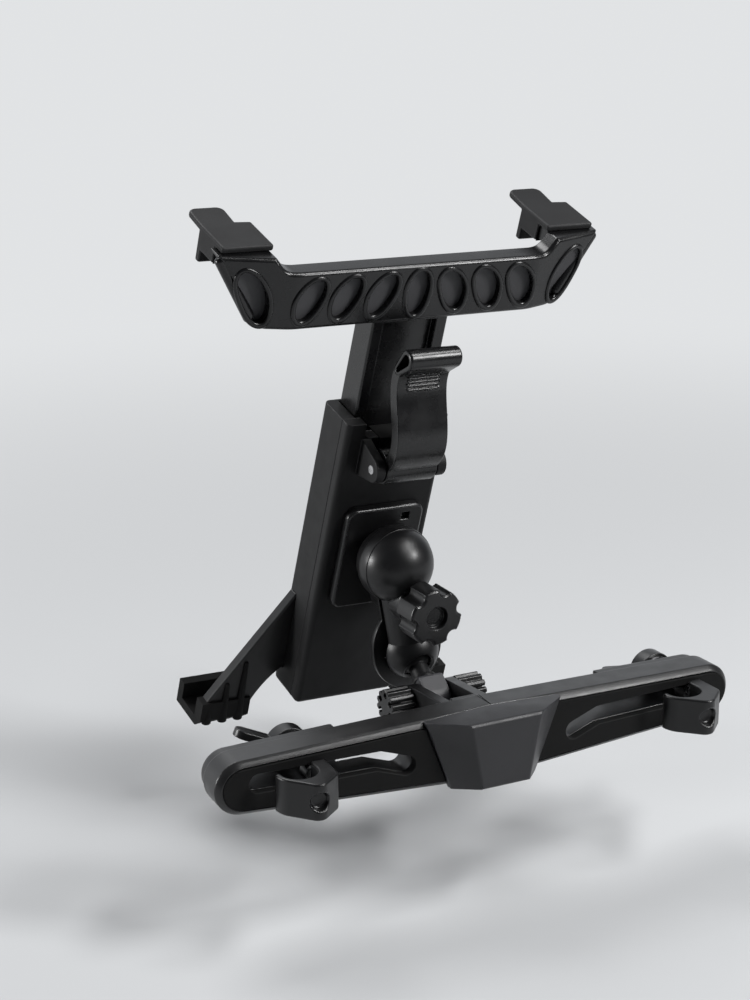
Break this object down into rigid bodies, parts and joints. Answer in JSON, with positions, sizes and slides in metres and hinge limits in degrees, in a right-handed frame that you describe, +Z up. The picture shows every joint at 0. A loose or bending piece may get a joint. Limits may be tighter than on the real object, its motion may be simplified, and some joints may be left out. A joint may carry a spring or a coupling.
{
  "type": "headrest tablet mount",
  "caption": "Car headrest tablet mount in black plastic: slotted bar with post hooks, ball arm and a sliding holder with rubber jaws.",
  "frame": {"origin": "midway between the two headrest post axes, at mid height of the bar", "axes": "X along the bar to the right as the hooks face the viewer, Y back toward the holder, Z up along the posts"},
  "size_m": [0.2028, 0.145, 0.2037],
  "materials": {
    "black_satin": "satin black moulded plastic",
    "black_gloss": "semi-gloss black moulded plastic",
    "grey_cover": "dark grey satin moulded plastic",
    "pad_rubber": "matte black rubber",
    "cap_rubber": "matte dark grey rubber",
    "steel": "bright zinc-plated steel"
  },
  "bodies": {
    "bar": {"bar_body": "black_satin", "bar_front_cover": "grey_cover", "left_wing_pad": "pad_rubber", "right_wing_pad": "pad_rubber", "cover_screws": "steel", "tilt_bolt": "steel"},
    "left_hook_set": {"left_hook": "black_satin", "left_hook_bolt": "steel", "left_washer": "steel"},
    "right_hook_set": {"right_hook": "black_satin", "right_hook_bolt": "steel", "right_washer": "steel"},
    "left_nut": {"left_wing_nut": "black_satin"},
    "right_nut": {"right_wing_nut": "black_satin"},
    "tilt": {"tilt_block": "black_satin"},
    "right_tilt_grip": {"right_tilt_knob": "black_satin"},
    "left_tilt_grip": {"left_tilt_knob": "black_satin"},
    "lower_stud": {"lower_ball_stud": "black_satin"},
    "arm": {"arm_near_half": "black_gloss", "arm_far_half": "black_gloss", "arm_bolt": "steel"},
    "arm_knob": {"star_knob": "black_satin"},
    "upper_stud": {"upper_ball_stud": "black_satin"},
    "holder": {"ball_plate": "black_satin", "plate_screws": "steel", "housing_front": "black_satin", "housing_rear": "black_satin", "housing_screws": "steel", "lower_bracket": "black_satin", "left_foot_boot": "cap_rubber", "right_foot_boot": "cap_rubber", "lever_pin": "steel"},
    "slider": {"upper_bracket": "black_gloss", "left_jaw_cap": "cap_rubber", "right_jaw_cap": "cap_rubber"},
    "lever": {"cam_lever": "black_gloss"},
    "shoe": {"brake_shoe": "pad_rubber"}
  },
  "joints": [
    {"name": "left_hook_slide", "type": "slide", "parent": "bar", "child": "left_hook_set", "axis": [0.9986, -0.0523, 0], "range_m": [-0.019, 0.022]},
    {"name": "right_hook_slide", "type": "slide", "parent": "bar", "child": "right_hook_set", "axis": [0.9986, 0.0523, 0], "range_m": [-0.039, 0.001]},
    {"name": "left_nut_turn", "type": "hinge", "parent": "left_hook_set", "child": "left_nut", "pos_m": [-0.06464, 0.0295, 0.0015], "axis": [0.0523, 0.9986, 0], "continuous": true},
    {"name": "right_nut_turn", "type": "hinge", "parent": "right_hook_set", "child": "right_nut", "pos_m": [0.08222, 0.03042, 0.0015], "axis": [-0.0523, 0.9986, 0], "continuous": true},
    {"name": "tilt_hinge", "type": "hinge", "parent": "bar", "child": "tilt", "pos_m": [0, 0.0465, 0.0008], "axis": [1, 0, 0], "range_deg": [-18, 10]},
    {"name": "right_tilt_knob_turn", "type": "hinge", "parent": "bar", "child": "right_tilt_grip", "pos_m": [0, 0.0465, 0.0008], "axis": [1, 0, 0], "continuous": true},
    {"name": "left_tilt_knob_turn", "type": "hinge", "parent": "bar", "child": "left_tilt_grip", "pos_m": [0, 0.0465, 0.0008], "axis": [1, 0, 0], "continuous": true},
    {"name": "lower_ball_turn", "type": "hinge", "parent": "tilt", "child": "lower_stud", "pos_m": [0, 0.06367, 0.01341], "axis": [0, 0.8059, 0.592], "range_deg": [-20, 20]},
    {"name": "lower_ball_tilt", "type": "hinge", "parent": "lower_stud", "child": "arm", "pos_m": [0, 0.06367, 0.01341], "axis": [0.9806, 0.046, 0.1905], "range_deg": [-14, 14]},
    {"name": "arm_knob_turn", "type": "hinge", "parent": "arm", "child": "arm_knob", "pos_m": [-0.0033, 0.04799, 0.03416], "axis": [-0.0514, 0.9984, 0.0232], "continuous": true},
    {"name": "upper_ball_tilt", "type": "hinge", "parent": "arm", "child": "upper_stud", "pos_m": [-0.00654, 0.06254, 0.04737], "axis": [0.9981, 0.0418, -0.0454], "range_deg": [-12, 14]},
    {"name": "holder_turn", "type": "hinge", "parent": "upper_stud", "child": "holder", "pos_m": [-0.00654, 0.06254, 0.04737], "axis": [-0.0282, 0.9633, 0.267], "range_deg": [-90, 90]},
    {"name": "upper_bracket_slide", "type": "slide", "parent": "holder", "child": "slider", "axis": [0.0549, -0.2652, 0.9626], "range_m": [-0.03, 0.02]},
    {"name": "lever_swing", "type": "hinge", "parent": "holder", "child": "lever", "pos_m": [-0.00469, 0.05837, 0.08434], "axis": [0.9981, 0.0418, -0.0454], "range_deg": [0, 95]},
    {"name": "shoe_press", "type": "slide", "parent": "holder", "child": "shoe", "axis": [-0.0282, 0.9633, 0.267], "range_m": [-0.0003, 0.0003]}
  ]
}
